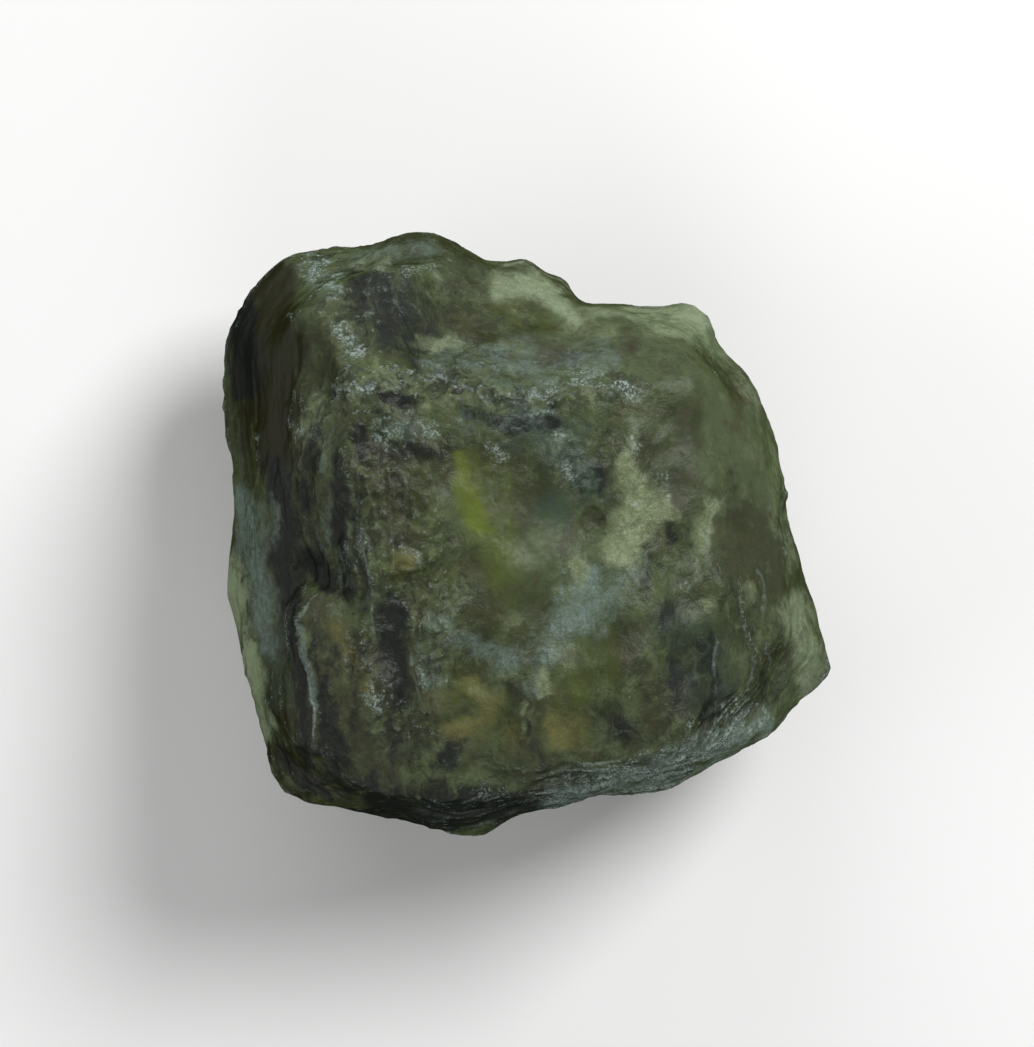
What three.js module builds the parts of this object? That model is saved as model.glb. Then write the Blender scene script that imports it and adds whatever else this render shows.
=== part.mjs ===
// A rough green garnet: one broken piece of a crystal, lying on its flattest fracture face.
// Millimetres, +Z up. The broad weathered face looks up, the grain of the crystal runs along Y,
// and the origin is under the middle of the stone, on the surface that it rests on.
import * as THREE from "three";
import { ImprovedNoise } from "three/addons/math/ImprovedNoise.js";
import { mergeVertices } from "three/addons/utils/BufferGeometryUtils.js";

// Driving dimensions
const fineness = 20; // how often each edge of the starting icosahedron is divided
const spacingRounds = 6; // how often the points slide towards even spacing
const heart = new THREE.Vector3(0, 0, 9); // the point inside that the whole surface faces
const leastRadius = 3; // how near to the heart the surface can come
const mostRadius = 26; // how far from it
const restDepth = 0.02; // what lies lower than this is part of the flat resting face
const edgeWear = 0.3; // rounding of the edges between fracture faces
const valleyWear = 0.9; // rounding of the corners between one block and the next
const beltHeight = 9.0; // where the stone is widest, on average
const beltSlope = 0.2; // how fast it narrows above and below the belt
const beltBlur = 5; // height over which the outline's small dents fade out
const beltRoughness = 0.55; // how much of the relief the belt shows
const beltWaves = [
  { count: 2, height: 1.3, turned: 0.6 },
  { count: 3, height: 0.7, turned: 2.0 },
]; // the belt rises and falls round the stone
const outlineTension = 0.35; // how tightly the curve follows the outline's points
const outlineSpread = 0.006; // width over which each reading of the curve is averaged, in radians

// The widest outline, seen from above, clockwise from the peak at the back left.
const rimPoints = [
  [-4.0, 12.9], [-2.9, 12.5], [-1.6, 11.7], [-0.5, 11.6], [0.1, 11.8], [0.8, 11.2],
  [1.7, 10.9], [2.4, 9.9], [3.8, 9.8], [5.3, 9.6], [7.2, 9.8], [8.0, 9.1],
  [8.9, 8.2], [9.2, 7.6], [9.7, 7.4], [10.2, 6.5], [10.9, 4.9], [11.3, 2.6],
  [11.7, -0.4], [12.1, -1.7], [12.7, -3.3], [12.8, -4.9], [13.1, -6.4], [12.8, -7.1],
  [11.3, -8.1], [10.6, -8.9], [9.4, -9.5], [7.7, -10.7], [6.7, -11.2], [5.1, -11.4],
  [3.6, -11.3], [2.2, -11.6], [-0.7, -12.3], [-1.7, -12.9], [-3.6, -12.8], [-6.0, -12.1],
  [-9.7, -11.3], [-10.6, -10.2], [-11.4, -8.0], [-11.6, -6.7], [-12.3, -5.4], [-12.6, -3.8],
  [-12.7, -2.3], [-12.3, 1.0], [-12.4, 2.7], [-12.9, 4.0], [-13.1, 5.8], [-12.9, 7.7],
  [-12.3, 9.5], [-11.3, 10.8], [-10.1, 11.7], [-8.3, 12.0], [-6.6, 12.3], [-5.3, 12.7],
];

// Fracture faces: a point on the face, and the way that it looks.
const backLeftFaces = faces([
  [[-7.7, 6.4, 18.0], [-0.8, 0.12, 0.58]], // upper part
  [[-11.3, -1.0, 12.9], [-0.95, 0.02, 0.3]], // side
  [[-11.2, 9.8, 11.6], [-0.7, 0.56, 0.44]], // corner
]);
const mainFaces = faces([
  [[-3.0, 0.0, 18.6], [0.1, -0.04, 1.0]], // weathered face, left half
  [[3.5, 1.0, 17.7], [0.3, 0.03, 1.0]], // weathered face, right half
  [[1.0, -8.8, 17.2], [0.05, -0.42, 0.9]], // worn strip along its front edge
  [[-1.0, 6.1, 18.2], [0.08, 0.8, 0.6]], // bevel along the back
  [[7.0, 7.4, 15.9], [0.5, 0.62, 0.6]], // back right corner
  [[8.2, 2.0, 15.9], [0.74, 0.1, 0.66]], // right side, upper part
  [[11.0, 0.0, 12.4], [0.95, 0.14, 0.26]], // right side, lower part
  [[10.6, -6.0, 12.2], [0.8, -0.45, 0.4]], // front right corner
  [[2.0, -11.2, 14.0], [0.2, -0.96, 0.2]], // front side
  [[-8.0, -11.3, 13.0], [-0.35, -0.9, 0.25]], // front left corner
  [[-7.7, -3.0, 17.9], [-0.8, -0.05, 0.6]], // striated left face
  [[11.3, 2.0, 7.2], [0.84, 0.2, -0.5]], // below the right side
  [[9.2, 7.6, 7.6], [0.62, 0.62, -0.48]], // below the back right corner
  [[0.5, 11.3, 6.4], [0.12, 0.86, -0.48]], // below the back
  [[-9.5, 10.8, 6.6], [-0.5, 0.62, -0.6]], // below the back left corner
  [[-12.1, 1.0, 5.4], [-0.93, -0.08, -0.36]], // below the left side
  [[-10.3, -9.9, 5.0], [-0.7, -0.56, -0.44]], // below the front left corner
  [[0.5, -11.6, 7.2], [0.06, -0.84, -0.54]], // below the front
  [[9.4, -9.0, 7.8], [0.52, -0.62, -0.58]], // below the front right corner
]);
const spurFaces = faces([
  [[-7.0, 7.6, 17.4], [-0.12, 0.58, 0.8]], // its sloping top
  [[-3.4, 10.6, 13.0], [0.8, 0.3, 0.52]], // right side
  [[-6.0, 11.8, 8.0], [-0.1, 0.66, -0.74]], // underneath
  [[-6.0, 4.4, 12.0], [0.0, -1.0, 0.0]], // where it meets the rest
]);
const backLedge = faces([
  [[-1.0, 9.5, 12.0], [0.2, 0.5, 0.84]], // top
  [[0.0, 10.8, 7.6], [0.1, 0.6, -0.8]], // underneath
  [[2.4, 9.4, 9.6], [0.86, 0.3, 0.4]], // right end
  [[-5.5, 9.4, 9.6], [-1.0, 0.0, 0.0]], // left end
  [[0.0, 6.0, 9.0], [0.0, -1.0, 0.0]], // where it meets the rest
]);
const leftLip = faces([
  [[-11.9, -4.0, 8.6], [-0.5, -0.1, 0.86]], // top
  [[-11.9, -4.0, 6.2], [-0.5, 0.0, -0.86]], // underneath
  [[-12.0, 0.4, 7.6], [-0.3, 0.9, 0.3]], // back end
  [[-11.2, -9.0, 7.4], [-0.3, -0.9, 0.3]], // front end
  [[-8.0, -4.0, 7.4], [1.0, 0.0, 0.0]], // where it meets the rest
]);
const sliver = faces([
  [[-8.7, -6.0, 17.75], [-0.6, -0.06, 0.8]], // standing proud of the striated face
  [[-10.2, -6.0, 15.6], [-0.95, 0.12, 0.3]], // left edge
  [[-8.4, -2.6, 16.9], [-0.5, 0.8, 0.4]], // arched end
  [[-8.6, -10.4, 15.0], [0.0, -0.9, 0.4]], // front end
  [[-7.4, -6.0, 17.3], [0.85, 0.0, 0.5]], // right edge
  [[-9.0, -6.0, 12.0], [-0.4, 0.0, -0.9]], // underneath
]);
const blocks = [
  [...mainFaces, ...backLeftFaces],
  [...spurFaces, ...backLeftFaces],
  backLedge,
  leftLip,
  sliver,
];

// Shallow shell-shaped scars where chips broke away: centre and radius.
const scars = [
  { centre: new THREE.Vector3(24.6, 9.0, 1.6), radius: 16.0 },
  { centre: new THREE.Vector3(4.6, -26.4, 0.6), radius: 17.0 },
  { centre: new THREE.Vector3(-7.4, 25.2, -1.6), radius: 16.4 },
  { centre: new THREE.Vector3(-25.2, 5.0, -1.2), radius: 15.6 },
];

// Round lumps, and pits where the height is negative: middle, radius and height.
const knobs = [
  { centre: new THREE.Vector3(-4.9, -0.8, 18.6), radius: 1.1, height: 0.4 },
  { centre: new THREE.Vector3(-4.0, 0.9, 18.6), radius: 0.9, height: 0.3 },
  { centre: new THREE.Vector3(-5.9, 4.2, 18.8), radius: 1.3, height: -0.35 },
  { centre: new THREE.Vector3(3.0, 0.2, 18.0), radius: 1.1, height: -0.6 },
  { centre: new THREE.Vector3(8.9, -8.2, 14.0), radius: 1.2, height: -0.4 },
  { centre: new THREE.Vector3(2.4, -4.2, 17.8), radius: 1.6, height: -0.3 },
];

// Relief on the faces: how deep it is, and how far apart its swells are.
const swell = { depth: 0.45, spacing: 6.5 };
const roughness = { depth: 0.24, spacing: 2.4 };
const grain = { depth: 0.3, across: 1.9, along: 11.0, lean: 0.12, elsewhere: 0.25, from: 4, to: 8 };
const steps = { depth: 0.5, spacing: 1.6, waviness: 1.6, patch: 3, tilt: 0.12, rise: 0.75 };

const fullTurn = 2 * Math.PI;
const noise = new ImprovedNoise();
const sharpRim = rimTable(rimPoints, 0);
const bluntRim = rimTable(rimPoints, 0.35);

function faces(rows) {
  return rows.map(([point, normal]) =>
    new THREE.Plane().setFromNormalAndCoplanarPoint(
      new THREE.Vector3(...normal).normalize(),
      new THREE.Vector3(...point),
    ),
  );
}

// The outline's radius in evenly spaced directions, with its dents taken off by the given blur.
function rimTable(outline, blur) {
  const corners = outline.map(([x, y]) => new THREE.Vector3(x, y, 0));
  const samples = new THREE.CatmullRomCurve3(corners, true, "catmullrom", outlineTension)
    .getPoints(10 * outline.length)
    .map((p) => ({ angle: Math.atan2(p.y, p.x), radius: Math.hypot(p.x, p.y) }));
  const count = 720;
  return Array.from({ length: count }, (_, i) => {
    const angle = (i / count) * fullTurn;
    let [sum, weights] = [0, 0];
    samples.forEach((sample) => {
      const apart = THREE.MathUtils.euclideanModulo(sample.angle - angle + Math.PI, fullTurn) - Math.PI;
      const weight = Math.exp(-((apart / (blur + outlineSpread)) ** 2));
      sum += weight * sample.radius;
      weights += weight;
    });
    return sum / weights - blur;
  });
}

function rimRadius(table, angle) {
  const place = (THREE.MathUtils.euclideanModulo(angle, fullTurn) / fullTurn) * table.length;
  const before = Math.floor(place) % table.length;
  const after = (before + 1) % table.length;
  return THREE.MathUtils.lerp(table[before], table[after], place - Math.floor(place));
}

// How far a point is outside the wall that gives the stone its outline.
function outsideBelt({ x, y, z }) {
  const angle = Math.atan2(y, x);
  const level = beltWaves.reduce(
    (height, wave) => height - wave.height * Math.sin(wave.count * angle + wave.turned),
    z - beltHeight,
  );
  const blunt = THREE.MathUtils.smoothstep(Math.abs(level), 0.5, beltBlur);
  const radius = THREE.MathUtils.lerp(rimRadius(sharpRim, angle), rimRadius(bluntRim, angle), blunt);
  return Math.hypot(x, y) - radius + beltSlope * Math.max(Math.abs(level) - 1, 0);
}

// The larger of two distances, with the corner between them worn round.
function wornMax(a, b, rounding) {
  const overlap = Math.max(rounding - Math.abs(a - b), 0) / rounding;
  return Math.max(a, b) + (overlap * overlap * rounding) / 4;
}

function layeredNoise(x, y, z, layers) {
  let sum = 0;
  for (let k = 0, scale = 1; k < layers; k++, scale *= 2) {
    sum += noise.noise(x * scale + 7 * k, y * scale, z * scale) / scale;
  }
  return sum;
}

// Height of the surface's relief over the plain fracture faces, in mm.
function relief({ x, y, z }) {
  const left = THREE.MathUtils.smoothstep(-x, grain.from, grain.to);
  const swells = swell.depth * layeredNoise(x / swell.spacing, y / swell.spacing, z / swell.spacing, 2);
  const lumps = roughness.depth
    * layeredNoise(x / roughness.spacing, y / roughness.spacing, z / roughness.spacing + 3, 2);
  const across = (x - grain.lean * y) / grain.across;
  const ridges = grain.depth * THREE.MathUtils.lerp(grain.elsewhere, 1, left)
    * (1 - 2 * Math.abs(noise.noise(across, y / grain.along, z / grain.across)));
  const raised = knobs.reduce((sum, { centre, radius, height }) => {
    const apart = Math.hypot(x - centre.x, y - centre.y, z - centre.z) / radius;
    return sum + height * Math.exp(-apart * apart);
  }, 0);
  return swells + lumps + ridges + raised + ledges(x, y, z);
}

// The ledges that run along the front side: each rises slowly and drops off quickly.
function ledges(x, y, z) {
  const front = THREE.MathUtils.smoothstep(-y, 8.4, 9.8)
    * THREE.MathUtils.smoothstep(z, 9, 11)
    * THREE.MathUtils.smoothstep(x, -4, 0);
  const waviness = steps.waviness * noise.noise(x / steps.patch, y / steps.patch, 5);
  const wave = (z + waviness + steps.tilt * x) / steps.spacing;
  const part = wave - Math.floor(wave);
  const height = part < steps.rise ? part / steps.rise : (1 - part) / (1 - steps.rise);
  return steps.depth * front * (height - 0.5);
}

// How far a point is outside the stone: negative inside, nothing on the surface.
function outside(point) {
  const outsideBlock = (planes) =>
    planes.map((plane) => plane.distanceToPoint(point)).reduce((a, b) => wornMax(a, b, edgeWear));
  const block = blocks.map(outsideBlock).reduce((a, b) => -wornMax(-a, -b, valleyWear));
  const bumps = relief(point);
  const chipped = scars.reduce(
    (far, scar) => wornMax(far, scar.radius - point.distanceTo(scar.centre), edgeWear),
    block - bumps,
  );
  return Math.max(wornMax(chipped, outsideBelt(point) - beltRoughness * bumps, edgeWear), -point.z);
}

// The surface point in one direction from the heart.
function surfaceAlong(direction) {
  let [inner, outer] = [leastRadius, mostRadius];
  const point = new THREE.Vector3();
  while (outer - inner > 1e-4) {
    const middle = (inner + outer) / 2;
    point.copy(heart).addScaledVector(direction, middle);
    if (outside(point) > 0) outer = middle;
    else inner = middle;
  }
  return point;
}

function surfaceNormal(point) {
  const reach = 0.08;
  const slope = ["x", "y", "z"].map((axis) => {
    const [before, after] = [point.clone(), point.clone()];
    before[axis] -= reach;
    after[axis] += reach;
    return outside(after) - outside(before);
  });
  return new THREE.Vector3(...slope).normalize();
}

function facesRound(index, count) {
  const around = Array.from({ length: count }, () => []);
  for (let i = 0; i < index.count; i += 3) {
    const corners = [index.getX(i), index.getX(i + 1), index.getX(i + 2)];
    corners.forEach((corner) => around[corner].push(corners));
  }
  return around;
}

// Slides the points along the surface until they are evenly spaced on it.
function spaceEvenly(points, around) {
  for (let round = 0; round < spacingRounds; round++) {
    const centred = points.map((point, i) => {
      const middle = new THREE.Vector3();
      around[i].flat().forEach((j) => middle.add(points[j]));
      return middle.divideScalar(3 * around[i].length);
    });
    centred.forEach((middle, i) => points[i].copy(surfaceAlong(middle.sub(heart).normalize())));
  }
}

// Moves each point to where the tangent planes of the faces round it meet, so that edges are crisp.
function sharpen(points, around) {
  const hold = 0.1;
  const farthest = 0.35;
  const tangents = new Map();
  const tangentOf = (corners) => {
    if (!tangents.has(corners)) {
      const middle = new THREE.Vector3();
      corners.forEach((j) => middle.add(points[j]));
      const spot = surfaceAlong(middle.divideScalar(3).sub(heart).normalize());
      tangents.set(corners, { spot, normal: surfaceNormal(spot) });
    }
    return tangents.get(corners);
  };
  const moved = points.map((point, i) => {
    const sum = new Array(9).fill(0);
    sum[0] = sum[4] = sum[8] = hold;
    const pull = new THREE.Vector3();
    around[i].forEach((corners) => {
      const { spot, normal } = tangentOf(corners);
      const n = normal.toArray();
      for (let k = 0; k < 9; k++) sum[k] += n[Math.floor(k / 3)] * n[k % 3];
      pull.addScaledVector(normal, normal.dot(spot.clone().sub(point)));
    });
    const step = pull.applyMatrix3(new THREE.Matrix3().set(...sum).invert());
    return point.clone().add(step.clampLength(0, farthest));
  });
  moved.forEach((point, i) => points[i].copy(point));
}

function stoneGeometry() {
  const ball = new THREE.IcosahedronGeometry(1, fineness);
  ball.deleteAttribute("normal");
  ball.deleteAttribute("uv");
  const geometry = mergeVertices(ball, 1e-4);
  const position = geometry.getAttribute("position");
  const points = Array.from({ length: position.count }, (_, i) =>
    surfaceAlong(new THREE.Vector3().fromBufferAttribute(position, i).normalize()),
  );
  const around = facesRound(geometry.index, points.length);
  spaceEvenly(points, around);
  sharpen(points, around);
  points.forEach((point, i) => position.setXYZ(i, point.x, point.y, point.z < restDepth ? 0 : point.z));
  geometry.computeBoundingBox();
  const middle = geometry.boundingBox.getCenter(new THREE.Vector3());
  geometry.translate(-middle.x, -middle.y, 0);
  geometry.computeVertexNormals();
  return geometry;
}

const greenGarnet = new THREE.MeshStandardMaterial({ color: 0x4c5342, roughness: 0.45, metalness: 0 });
const garnet = new THREE.Mesh(stoneGeometry(), greenGarnet);
garnet.name = "garnet";

const roughStone = new THREE.Group();
roughStone.add(garnet);

export default roughStone;
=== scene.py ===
import math

import bmesh
import bpy
import numpy as np
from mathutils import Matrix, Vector, noise
from mathutils.bvhtree import BVHTree


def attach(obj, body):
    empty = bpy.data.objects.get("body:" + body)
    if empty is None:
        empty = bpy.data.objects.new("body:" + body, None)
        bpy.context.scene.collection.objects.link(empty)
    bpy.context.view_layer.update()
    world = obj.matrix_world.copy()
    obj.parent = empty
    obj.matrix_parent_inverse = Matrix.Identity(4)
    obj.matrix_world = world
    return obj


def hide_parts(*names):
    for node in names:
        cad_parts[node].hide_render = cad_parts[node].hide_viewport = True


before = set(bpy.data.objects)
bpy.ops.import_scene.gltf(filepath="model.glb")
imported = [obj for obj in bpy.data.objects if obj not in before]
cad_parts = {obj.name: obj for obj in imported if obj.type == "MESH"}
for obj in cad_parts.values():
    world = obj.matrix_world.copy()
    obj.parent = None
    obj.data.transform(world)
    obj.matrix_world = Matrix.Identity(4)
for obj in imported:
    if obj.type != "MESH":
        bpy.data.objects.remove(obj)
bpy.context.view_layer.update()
mm = 0.001  # one millimetre in Blender's metres
print("frame loaded")


# Camera: straight down, with the back of the stone at the top of the picture

view = {
    "distance": 0.260,  # from the camera to the stone's widest level
    "level": 0.009,  # height of that level
    "span": 0.04552,  # what the picture's long side shows there
    "centre": (-0.00022, 0.00041),
    "sensor": 36.0,
    "clip": (0.01, 10.0),
}


def makeCamera():
    data = bpy.data.cameras.new("camera")
    data.sensor_width = view["sensor"]
    data.lens = view["sensor"] * view["distance"] / view["span"]
    data.clip_start, data.clip_end = view["clip"]
    camera = bpy.data.objects.new("camera", data)
    camera.location = (*view["centre"], view["level"] + view["distance"])
    bpy.context.collection.objects.link(camera)
    bpy.context.scene.camera = camera


makeCamera()


# Fields over the stone's surface, on arrays of points in mm

def smoothStep(low, high, values):
    part = np.clip((values - low) / (high - low), 0, 1)
    return part * part * (3 - 2 * part)


def hills(points, size, octaves=3, shift=0.0):
    places = points / np.array(size) + shift
    return np.array([noise.fractal(Vector(p), 1.0, 2.0, octaves) for p in places])


def ridges(points, size, octaves=3, shift=0.0):
    return 1 - 2 * np.abs(hills(points, size, octaves, shift))


def bent(points, size, amount):  # the points moved about, so that nothing on them is too regular
    farPlaces = (13.0, 57.0, 91.0)  # in the noise, one for each axis
    shifts = [hills(points, size, 2, far) for far in farPlaces]
    return points + amount * np.stack(shifts, axis=1)


def shells(points, size, depth, tilt, shift=0.0):  # small dished breaks that meet at crests
    heights = np.empty(len(points))
    middle = Vector((0.5, 0.5, 0.5))
    for i, p in enumerate(points / size + shift):
        place = Vector(p)
        distances, cells = noise.voronoi(place)
        heights[i] = min(
            depth * d * d + tilt * (noise.cell_vector(c * 13.7) - middle).dot(place - c)
            for d, c in zip(distances, cells)
        )
    return heights * size


def seenFromAbove(points):  # where the camera sees each point, brought to the widest level
    centre = np.array(view["centre"]) / mm
    rise = points[:, 2] - view["level"] / mm
    nearer = view["distance"] / mm / (view["distance"] / mm - rise)
    return centre + (points[:, :2] - centre) * nearer[:, None]


strokeEdge = {
    "bays": 0.42,  # mm, how far the edge goes in and out
    "baySize": 2.2,
    "teeth": 0.16,
    "toothSize": 0.6,
}


def wandering(points, flat, amount=1.0):  # gives listed strokes their ragged edges
    moved = flat.copy()
    for axis, far in ((0, 31.0), (1, 47.0)):
        bays = strokeEdge["bays"] * hills(points, strokeEdge["baySize"], 2, far)
        teeth = strokeEdge["teeth"] * hills(points, strokeEdge["toothSize"], 2, far)
        moved[:, axis] += amount * (bays + teeth)
    return moved


def reachOf(flat, path):  # distance from a stroke's middle line, in its half widths
    nearest = np.full(len(flat), 1e9)
    path = path if len(path) > 1 else path * 2
    for (ax, ay, aw), (bx, by, bw) in zip(path[:-1], path[1:]):
        start, along = np.array((ax, ay)), np.array((bx - ax, by - ay))
        part = np.clip((flat - start) @ along / max(along @ along, 1e-9), 0, 1)
        apart = np.linalg.norm(flat - start - part[:, None] * along, axis=1)
        nearest = np.minimum(nearest, apart / (aw + part * (bw - aw)))
    return nearest


def painted(flat, strokes, soft=0.9):  # each stroke: its strength, then x, y and half width in mm
    total = np.zeros(len(flat))
    for strength, *path in strokes:
        body = 1 - smoothStep(1 - soft, 1 + soft, reachOf(flat, path))
        total = np.maximum(total, strength * body)
    return total


# The crystal's shape: the solid's mesh made finer, then broken up by real relief

crystal = {
    "cuts": 2,  # new points on each edge of the solid's mesh
    "upperCuts": 1,  # and again on the upper side
    "smoothing": 6,  # rounds that take off the solid's small flats
    "wearing": 60,  # more rounds where the stone is worn round
    "footing": 1.2,  # mm above the table within which the relief fades out
    "swell": 0.10,  # mm, broad unevenness
    "swellSize": 3.4,
    "bend": 0.5,
    "bendSize": 1.3,
    "breakSize": 2.6,  # mm, the larger shell-shaped breaks
    "breakDepth": 0.11,
    "breakTilt": 0.08,
    "chipSize": 0.62,  # mm, the small ones
    "chipDepth": 0.26,
    "chipTilt": 0.30,
    "crumb": 0.10,
    "crumbSize": 0.36,
    "grain": 0.07,  # mm, height of the striations
    "grainAcross": 0.5,
    "grainAlong": 6.0,
    "grainLean": 0.10,
    "hiddenRough": 0.45,  # how broken the sides are that no stroke reaches
    "hiddenSize": 5.0,
    "evenRough": 0.10,
    "leastRough": 0.03,
    "evenStriated": 0.08,
    "calming": 0.5,  # what a smooth stroke takes off both
    "knob": 0.16,  # mm, heights that go with the strokes of the same name
    "pit": 0.22,
    "line": 0.05,
    "fuller": 0.38,
    "leaner": 0.28,
}

frontSteps = {  # wavy steps that run along the front edge
    "height": 0.17,  # mm
    "spacing": 0.75,
    "riser": 0.25,  # the share of a step that falls back
    "steepness": (0.3, 0.7),  # where they set in
    "fromX": (-7, -3),
    "fromZ": (6.5, 11.0),
    "gaps": (-0.3, 0.2),
    "gapSize": 3.6,
    "gapLeaves": 0.3,
    "slope": 0.12,
    "warp": 1.8,
    "warpSize": (5.2, 5.2, 3.2),
}

reliefStrokes = {
    "striated": [
        (1.0, (-10.6, 4.8, 2.6), (-10.0, -2.0, 3.2), (-9.0, -10.8, 3.0)),
        (0.8, (-6.2, 1.5, 1.8), (-5.6, -4.0, 2.2), (-5.0, -10.0, 2.2)),
        (0.35, (0.5, -5.0, 2.5), (1.0, -9.5, 2.5)),
        (0.4, (9.8, -2.0, 1.0), (10.0, -6.5, 1.2)),
    ],
    "rough": [
        (0.9, (-9.3, 5.4, 1.0), (-7.0, 6.2, 1.0), (-3.0, 6.3, 0.8), (1.5, 5.8, 0.6)),
        (0.5, (1.5, 5.8, 0.6), (4.6, 6.4, 0.6)),
        (0.9, (-6.0, 4.0, 1.4), (-5.4, 0.5, 1.7), (-4.6, -3.0, 1.4)),
        (0.6, (-7.6, -5.0, 0.9), (-6.6, -7.4, 1.2), (-4.6, -8.6, 1.2)),
        (0.6, (-3.8, -3.6, 0.9), (-3.2, -5.6, 0.9)),
        (0.7, (-8.6, 11.4, 1.0), (-7.2, 8.8, 0.9)),
        (0.35, (4.7, 2.6, 0.5), (4.8, 0.2, 0.9), (6.8, 0.6, 0.4)),
        (0.4, (8.2, 0.6, 0.6), (7.6, -1.4, 0.4)),
        (0.4, (2.0, 3.8, 1.0), (2.6, 2.0, 0.8)),
    ],
    "smooth": [
        (1.0, (-11.6, 9.8, 1.8), (-11.4, 5.2, 2.0)),
        (0.6, (-11.4, 2.0, 1.2), (-10.6, -5.0, 1.2)),
        (1.0, (6.8, 4.2, 1.2), (9.0, 5.5, 2.2), (9.9, 1.5, 2.4), (11.0, -1.5, 1.6)),
        (1.0, (-1.6, 1.5, 1.4), (0.6, 0.4, 1.6), (-0.2, -3.0, 1.8)),
        (0.8, (6.6, 3.6, 1.2), (6.8, 1.8, 0.8)),
        (0.6, (1.2, -1.0, 1.4), (3.6, -4.6, 1.6)),
        (0.6, (1.0, 8.6, 1.0), (6.0, 8.6, 1.0)),
        (0.7, (7.4, -4.6, 1.6), (8.0, -7.0, 1.4)),
    ],
    "worn": [
        (1.0, (5.6, 7.4, 0.8), (7.6, 6.8, 1.6), (8.4, 4.5, 1.8), (9.0, 1.5, 1.8), (9.6, -1.0, 1.4)),
        (1.0, (-11.8, 10.0, 1.6), (-11.4, 7.5, 1.8), (-11.2, 5.0, 1.6), (-11.4, 1.0, 1.4)),
        (1.0, (-11.4, 1.0, 1.4), (-11.0, -4.0, 1.2), (-10.4, -8.0, 1.0)),
        (1.0, (-0.6, 2.0, 1.2), (0.8, 0.0, 1.4), (0.0, -3.0, 1.2)),
    ],
    "knobs": [
        (1.0, (-5.3, -1.2, 0.4), (-4.9, -1.0, 0.45)),
        (0.8, (-4.0, -0.7, 0.38)),
        (0.5, (-6.6, 2.0, 0.5)),
    ],
    "pits": [
        (1.0, (2.9, 0.6, 0.3), (3.2, 0.2, 0.3)),
        (0.9, (-6.0, 5.8, 0.35), (-5.3, 5.9, 0.35)),
        (0.8, (-9.2, -1.6, 0.6), (-8.5, -2.0, 0.5)),
        (0.7, (-6.0, -4.0, 0.5), (-5.6, -5.4, 0.6), (-5.3, -7.0, 0.5)),
        (0.6, (-8.4, -7.4, 0.35), (-8.2, -9.8, 0.4)),
        (0.6, (6.0, -0.1, 0.5), (6.9, -0.5, 0.5)),
    ],
    "fuller": [
        (1.0, (12.9, -6.1, 1.2)),
    ],
    "leaner": [
        (1.0, (8.9, 8.0, 0.9), (10.0, 6.8, 0.9)),
    ],
}

lineStrokes = [  # thin pale edges and cracks: strength, then x and y in mm
    (0.7, (-8.0, -0.5), (-7.85, -2.4)),
    (0.7, (-6.8, 0.2), (-6.7, -2.8), (-6.5, -4.8)),
    (1.0, (-8.9, -2.8), (-9.7, -3.9), (-9.7, -4.8), (-9.3, -6.4), (-9.0, -7.8), (-9.05, -9.0)),
    (0.6, (8.4, -4.6), (8.5, -6.6), (8.4, -8.4)),
    (0.8, (9.4, -1.9), (9.7, -3.7), (10.0, -5.4), (9.9, -7.2), (9.0, -7.6), (8.8, -8.3)),
    (0.7, (8.8, -8.3), (8.0, -8.9), (7.4, -9.5), (5.6, -9.4), (3.8, -9.9), (1.6, -10.2)),
    (0.5, (10.2, -1.6), (10.5, -2.9), (10.7, -5.9)),
    (0.6, (-7.9, 6.3), (-6.8, 6.0), (-5.4, 6.5), (-4.6, 7.0), (-2.8, 6.6), (-2.0, 6.0), (0.4, 5.9)),
    (0.6, (0.4, 5.9), (2.2, 6.4), (3.6, 6.9)),
    (0.5, (-7.3, 3.0), (-6.3, 2.8), (-5.9, 2.4)),
    (0.5, (8.2, -1.0), (7.4, -2.4)),
    (0.5, (8.9, 1.6), (8.3, 0.2), (8.0, -1.1)),
    (0.5, (-4.9, -4.0), (-4.6, -6.2), (-4.4, -7.8)),
    (0.4, (-4.2, -3.6), (-3.9, -5.4), (-3.8, -7.4)),
    (0.4, (-7.1, 3.4), (-7.2, 1.2), (-7.0, -0.8)),
    (0.4, (-9.0, 2.0), (-8.9, 0.2), (-8.6, -1.4)),
    (0.5, (-8.6, 5.4), (-9.3, 4.2), (-9.6, 3.0)),
    (0.4, (-8.0, 4.8), (-8.6, 3.6), (-8.8, 2.6)),
    (0.4, (-1.2, 2.4), (-0.9, 0.6), (-0.8, -0.9)),
]


thinLine = {
    "tip": 0.25,  # mm, over which a line ends
    "sides": (0.3, 0.6),
}


def linesNear(flat):  # how far each point is from a thin line, and on which side, and its strength
    away = np.full(len(flat), 9.0)  # mm, further off than a line counts
    strength = np.zeros(len(flat))
    for bright, *path in lineStrokes:
        for (ax, ay), (bx, by) in zip(path[:-1], path[1:]):
            start, along = np.array((ax, ay)), np.array((bx - ax, by - ay))
            length = math.hypot(*along)
            gone = (flat - start) @ along / length
            aside = (flat - start) @ np.array((-along[1], along[0])) / length
            beyond = np.maximum(np.maximum(-gone, gone - length), 0)
            apart = np.hypot(aside, beyond)
            closer = apart < np.abs(away)
            away[closer] = np.copysign(apart, aside)[closer]
            fade = 1 - smoothStep(0.0, thinLine["tip"], beyond)
            fade *= 1 - smoothStep(*thinLine["sides"], apart)
            strength[closer] = (bright * fade)[closer]
    return away, strength


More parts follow.
